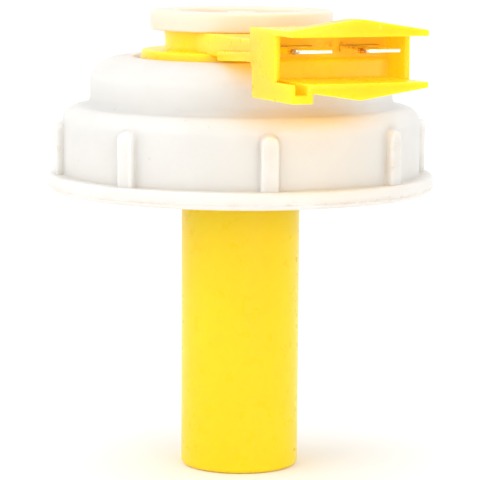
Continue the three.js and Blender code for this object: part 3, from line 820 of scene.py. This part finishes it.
def plug_cuts():
    """Cavity, set-back side walls and keyway."""
    inside = PLUG_HALF - PLUG_WALL
    past = PLUG_MOUTH + 1
    wide = PLUG_HALF + 1
    cavity = [(CAVITY_BACK, CAVITY_CEILING), (CAVITY_BACK, CAVITY_STEP)]
    cavity += [(CAVITY_BACK + 0.6, CAVITY_STEP - 0.35), (CAVITY_BACK + 0.6, CAVITY_FLOOR)]
    cavity += [(past, CAVITY_FLOOR), (past, CAVITY_CEILING)]
    height = (CAVITY_FLOOR, CAVITY_CEILING)
    return [
        prism_mesh("cavity", cavity, -inside, inside, across_arm),
        block_mesh("setback", (-wide, wide), (PLUG_MOUTH - SIDE_SETBACK, past), height),
        block_mesh("keyway", KEYWAY_SPAN, (KEYWAY_BACK, past), (KEYWAY_FLOOR, CAVITY_FLOOR + 0.1)),
    ]


def blade_slots():
    """The slots that the two blades fill. Their edges stay sharp."""
    half = TAB_WIDTH / 2 + 0.03
    height = (TAB_Z - TAB_THICK / 2 - 0.03, TAB_Z + TAB_THICK / 2 + 0.03)
    along = (5, CAVITY_BACK + 1)
    return [block_mesh("slot", (x - half, x + half), along, height) for x in (-TAB_OFFSET, TAB_OFFSET)]


def make_housing():
    plug = tidy(cut(plug_body(), plug_cuts()))
    plug = cut(rounded(plug, 0.2), blade_slots())
    past = NECK_TOP + 2
    profile = [(0, CHAMBER_FLOOR), (LEDGE_RADIUS, CHAMBER_FLOOR), (LEDGE_RADIUS, past), (0, past)]
    chamber = lathe_mesh("chamber", profile, 64)
    outward(chamber)
    plug = combine(plug, chamber, "DIFFERENCE")
    core = housing_core()
    outward(core)
    whole = combine(core, plug, "UNION")
    made = piece("housing_shell", whole)
    return finish_piece(made, "switch_body", "yellow_plastic", "switch_housing", material=THIN_YELLOW)


# ---------------------------------------------------------------- tube, cover and button
def make_tube():
    foot = tube_high.x - 0.07
    top = tube_high.z
    bore = TUBE_BORE
    floor = 1.5
    profile = [(0, 0)] + arc(foot - 0.9, 0.9, 0.9, 0.9, 270, 360, 8)
    profile += [(tube_high.x, CAP_BOTTOM), (tube_high.x, top - 0.2), (tube_high.x - 0.2, top)]
    profile += [(bore + 0.2, top), (bore, top - 0.2), (bore, floor + 0.4), (bore - 0.4, floor), (0, floor)]
    mesh = lathe_mesh("tube", profile, 128, closed=False)
    outward(mesh)
    tools = []
    inlet_radius = 1.25
    inlet_profile = [(0, -1), (inlet_radius, -1), (inlet_radius, floor + 1), (0, floor + 1)]
    for k in range(6):
        a = math.radians(60 * k + 30)
        inlet = lathe_mesh("inlet", inlet_profile, 32, closed=False)
        inlet.transform(Matrix.Translation((5.2 * math.cos(a), 5.2 * math.sin(a), 0)))
        outward(inlet)
        tools.append(inlet)
    tools.append(block_mesh("windows", (-11, 11), (-1.95, 1.95), (48.2, 50.6)))
    tools.append(block_mesh("vents", (-1.4, 1.4), (-11, 11), (44.4, 46)))
    made = piece("float_tube_shell", cut(mesh, tools))
    return finish_piece(made, "switch_body", "yellow_plastic", "float_tube")


def make_cover():
    radius = cover_high.x
    bottom = COVER_BOTTOM
    top = cover_high.z
    floor = top - 1.0
    hole = 2.8
    profile = [(8.8, cover_low.z), (9.8, cover_low.z), (9.8, bottom)]
    profile += arc(radius - 0.35, bottom + 0.35, 0.35, 0.35, 270, 360, 5)
    profile += [(radius - 0.02, bottom + 1.5)]
    profile += arc(radius - 0.4, top - 0.35, 0.35, 0.35, 0, 90, 6)
    profile += arc(10.35, top - 0.45, 0.45, 0.45, 90, 180, 5)
    profile += arc(9.5, floor + 0.4, 0.4, 0.4, 0, -90, 5)
    profile += [(6.5, floor - 0.04), (4.2, floor - 0.02)]
    profile += arc(hole + 0.25, floor - 0.25, 0.25, 0.25, 90, 180, 4)
    profile += [(hole, 69.7), (8.8, 69.7)]
    made = piece("cover_shell", lathe_mesh("cover", profile, 160))
    return finish_piece(made, "switch_body", "cover_elastomer", "top_cover")


def make_button():
    low, high = node_box("test_button")
    radius = 2.5
    pin = 1.1
    profile = [(0, low.z)] + arc(pin - 0.25, low.z + 0.25, 0.25, 0.25, 270, 360, 4)
    profile += [(pin, 68.9), (3.6, 68.9), (3.6, 69.4), (radius, 69.4)]
    profile += arc(radius - 0.7, high.z - 0.7, 0.7, 0.66, 0, 90, 8) + [(0, high.z)]
    made = piece("test_button_nub", lathe_mesh("button", profile, 64, closed=False))
    return finish_piece(made, "button", "cover_elastomer", "test_button")


def make_terminal(side, node):
    """Blade with a chamfered tip and rounded edges, strip, leg and contact foot."""
    middle = side * TAB_OFFSET
    half = TAB_WIDTH / 2
    narrow = STRIP_WIDTH / 2
    tip = 2.42
    low = TAB_Z - TAB_THICK / 2
    plan = [(middle - half, -12), (middle - half, -TAB_TIP + 1.3), (middle - tip, -TAB_TIP),
            (middle + tip, -TAB_TIP), (middle + half, -TAB_TIP + 1.3), (middle + half, -12),
            (middle + narrow, -11), (middle + narrow, -5.4), (middle - narrow, -5.4), (middle - narrow, -11)]
    strip = prism_mesh("strip", plan, low, low + TAB_THICK, upright)
    wedge = [(TAB_TIP + 1, low - 0.5), (TAB_TIP - 1.4, low - 0.01)]
    wedge += [(TAB_TIP, low + 0.16), (TAB_TIP + 1, low + 0.3)]
    flipped = [(a, 2 * TAB_Z - b) for a, b in wedge]
    chamfers = []
    for outline in (wedge, flipped):
        chamfers.append(prism_mesh("chamfer", outline, middle - half - 1, middle + half + 1, across_arm))
    hole = 0.85
    dimple_profile = [(0, low - 1), (hole, low - 1), (hole, low + 2), (0, low + 2)]
    dimple = lathe_mesh("dimple", dimple_profile, 32, closed=False)
    dimple.transform(Matrix.Translation((middle, -TAB_TIP + 4.6, 0)))
    outward(dimple)
    blade = cut(strip, chamfers + [dimple])
    leg = block_mesh("leg", (middle - narrow, middle + narrow), (5.4, 6.2), (54.4, low + 0.1))
    foot = block_mesh("foot", (middle - narrow, middle + narrow), (1, 6.2), (54.4, 55.2))
    mesh = rounded(tidy(joined([blade, leg, foot])), 0.07, 2)
    return finish_piece(piece(node + "_blade", mesh), "switch_body", "tinned_brass", node)


# ---------------------------------------------------------------- inner pieces
def ring_profile(inner, outer, bottom, top, edge):
    """Section of a ring with rounded edges."""
    profile = arc(outer - edge, bottom + edge, edge, edge, 270, 360, 3)
    profile += arc(outer - edge, top - edge, edge, edge, 0, 90, 3)
    if inner > 0:
        profile += arc(inner + edge, top - edge, edge, edge, 90, 180, 3)
        profile += arc(inner + edge, bottom + edge, edge, edge, 180, 270, 3)
        return profile
    return [(0, bottom)] + profile + [(0, top)]


def make_ring(node, body, material_slot, inner, edge=0.1, segments=72):
    low, high = node_box(node)
    profile = ring_profile(inner, high.x, low.z, high.z, edge)
    mesh = lathe_mesh(node, profile, segments, closed=inner > 0)
    return finish_piece(piece(node + "_piece", mesh), body, material_slot, node)


def make_carrier():
    low, high = node_box("contact_carrier")
    top = high.z
    profile = [(1.5, low.z), (3.8, low.z), (4, low.z + 0.2), (4, top - 1.1), (9.6, top - 1.1)]
    profile += [(9.8, top - 0.9), (9.8, top - 0.2), (9.6, top), (3.2, top), (3, top - 0.2)]
    profile += [(3, low.z + 0.7), (1.5, low.z + 0.7)]
    mesh = lathe_mesh("carrier", profile, 72)
    outward(mesh)
    height = (top - 1.4, top + 1)
    notches = [block_mesh("notch", (x - 1.6, x + 1.6), (4.9, 11), height) for x in (-TAB_OFFSET, TAB_OFFSET)]
    made = piece("contact_carrier_plate", cut(mesh, notches))
    return finish_piece(made, "switch_body", "natural_plastic", "contact_carrier")


def make_snap_ring():
    low, high = node_box("snap_ring")
    mesh = lathe_mesh("snap", ring_profile(10.25, high.x, low.z, high.z, 0.12), 96)
    outward(mesh)
    opening = block_mesh("opening", (-1.6, 1.6), (-14, 0), (low.z - 1, high.z + 1))
    made = piece("snap_ring_clip", cut(mesh, [opening]))
    return finish_piece(made, "switch_body", "spring_steel", "snap_ring")


def make_bush():
    low, high = node_box("rod_guide_bush")
    profile = [(1.35, low.z), (2.4, low.z), (2.6, low.z + 0.2), (2.6, high.z - 0.6)]
    profile += [(high.x - 0.1, high.z - 0.6), (high.x, high.z - 0.5), (high.x, high.z - 0.1)]
    profile += [(high.x - 0.1, high.z), (1.5, high.z), (1.35, high.z - 0.15)]
    made = piece("rod_guide_bush_piece", lathe_mesh("bush", profile, 48))
    return finish_piece(made, "switch_body", "natural_plastic", "rod_guide_bush")


def make_seal_ring():
    low, high = node_box("stem_seal_ring")
    radius = (high.z - low.z) / 2
    profile = arc(high.x - radius, low.z + radius, radius, radius, 0, 345, 23)
    made = piece("stem_seal_ring_piece", lathe_mesh("seal", profile, 96))
    return finish_piece(made, "switch_body", "black_rubber", "stem_seal_ring")


def make_gasket():
    """Flat gasket with a shallow groove on its sealing face."""
    low, high = node_box("sealing_gasket")
    inner = GASKET_INNER
    middle = (inner + high.x) / 2
    profile = [(inner, low.z + 0.2), (inner + 0.2, low.z), (middle - 0.4, low.z)]
    profile += [(middle - 0.25, low.z + 0.2), (middle + 0.25, low.z + 0.2), (middle + 0.4, low.z)]
    profile += [(high.x - 0.2, low.z), (high.x, low.z + 0.2), (high.x, high.z - 0.2), (high.x - 0.2, high.z)]
    profile += [(inner + 0.2, high.z), (inner, high.z - 0.2)]
    made = piece("sealing_gasket_piece", lathe_mesh("gasket", profile, 128))
    return finish_piece(made, "cap", "black_rubber", "sealing_gasket")


def make_spring():
    """Coil spring round the test pin."""
    low, high = node_box("button_spring")
    wire = 0.25
    radius = 2.0
    turns = 3.5
    sides = 12
    count = 140
    points = []
    faces = []
    rise = (high.z - low.z - 2 * wire) / (turns * 2 * math.pi)
    for i in range(count + 1):
        turn = turns * 2 * math.pi * i / count
        out = Vector((math.cos(turn), math.sin(turn), 0))
        middle = radius * out + Vector((0, 0, low.z + wire + rise * turn))
        ahead = Vector((-radius * math.sin(turn), radius * math.cos(turn), rise)).normalized()
        up = out.cross(ahead)
        for j in range(sides):
            a = 2 * math.pi * j / sides
            points.append(middle + wire * (math.cos(a) * out + math.sin(a) * up))
    for i in range(count):
        near, far = i * sides, (i + 1) * sides
        faces += [[near + j, near + (j + 1) % sides, far + (j + 1) % sides, far + j] for j in range(sides)]
    faces += [list(range(sides)), list(range(count * sides, (count + 1) * sides))]
    made = piece("button_spring_coil", mesh_of("spring", points, faces))
    finish_piece(made, "switch_body", "spring_steel", "button_spring")
    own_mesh(made)


def make_inner_pieces():
    make_carrier()
    make_snap_ring()
    make_bush()
    make_seal_ring()
    make_gasket()
    make_spring()
    make_ring("slip_washer", "switch_body", "natural_plastic", WASHER_BORE)
    make_ring("float", "float_group", "float_foam", ROD_BORE, edge=0.8, segments=96)
    make_ring("float_rod", "float_group", "natural_plastic", 0, edge=0.3, segments=32)
    make_ring("contact_disc", "float_group", "contact_brass", ROD_BORE, segments=64)
    for node in ("float_clip_lower", "float_clip_upper", "disc_clip_lower", "disc_clip_upper"):
        make_ring(node, "float_group", "spring_steel", ROD_BORE, segments=40)


# ---------------------------------------------------------------- floor, light and camera
def make_floor():
    half = 6.0
    corners = [(-half, -half, 0), (half, -half, 0), (half, half, 0), (-half, half, 0)]
    floor = piece("floor", mesh_of("floor", corners, [[0, 1, 2, 3]]))
    paint = Material("floor_paint", 0.9)
    paint.colour(paint.mix(paint.noise(3, 2), rgb(0.955, 0.955, 0.955), rgb(0.97, 0.97, 0.97)))
    floor.data.materials.append(paint.material)


def area_light(name, power, size, azimuth, elevation, distance):
    """A softbox at a distance from the object's middle, facing it. Angles are in degrees."""
    data = bpy.data.lights.new(name, "AREA")
    data.shape = "RECTANGLE"
    data.size, data.size_y = size
    data.energy = power
    light = bpy.data.objects.new(name, data)
    bpy.context.scene.collection.objects.link(light)
    back = toward(azimuth, elevation)
    light.location = AIM + back * distance
    light.rotation_mode = "QUATERNION"
    light.rotation_quaternion = (-back).to_track_quat("-Z", "Y")


def toward(azimuth, elevation):
    a, e = math.radians(azimuth), math.radians(elevation)
    return Vector((math.sin(a) * math.cos(e), -math.cos(a) * math.cos(e), math.sin(e)))


def make_lights():
    world = bpy.data.worlds.new("studio")
    bpy.context.scene.world = world
    world.use_nodes = True
    sky = next(n for n in world.node_tree.nodes if n.type == "BACKGROUND")
    sky.inputs["Color"].default_value = rgb(1, 1, 1)
    sky.inputs["Strength"].default_value = 1.06
    area_light("key_softbox", 2.0, (0.8, 0.7), CAMERA_AZIMUTH - 62, 28, 0.8)
    area_light("front_softbox", 1.4, (0.36, 0.3), CAMERA_AZIMUTH + 26, 10, 0.8)
    area_light("top_softbox", 1.2, (0.6, 0.6), CAMERA_AZIMUTH, 85, 0.8)


def make_camera():
    data = bpy.data.cameras.new("camera")
    data.sensor_width = 36
    data.lens = LENS
    data.clip_start = 0.01
    data.clip_end = 50
    camera = bpy.data.objects.new("camera", data)
    bpy.context.scene.collection.objects.link(camera)
    bpy.context.scene.camera = camera
    back = toward(CAMERA_AZIMUTH, CAMERA_PITCH)
    facing = (-back).to_track_quat("-Z", "Y")
    right = facing @ Vector((1, 0, 0))
    camera.rotation_mode = "QUATERNION"
    roll = Matrix.Rotation(math.radians(CAMERA_ROLL), 4, "Z").to_quaternion()
    camera.rotation_quaternion = facing @ roll
    camera.location = AIM + back * CAMERA_DISTANCE - right * CAMERA_OFFSET


make_camera()
make_floor()
make_lights()
make_screw_cap()
make_housing()
make_tube()
make_cover()
make_button()
make_terminal(-1, "terminal_left")
make_terminal(1, "terminal_right")
make_inner_pieces()

view = bpy.context.scene.view_settings
view.view_transform = "Standard"
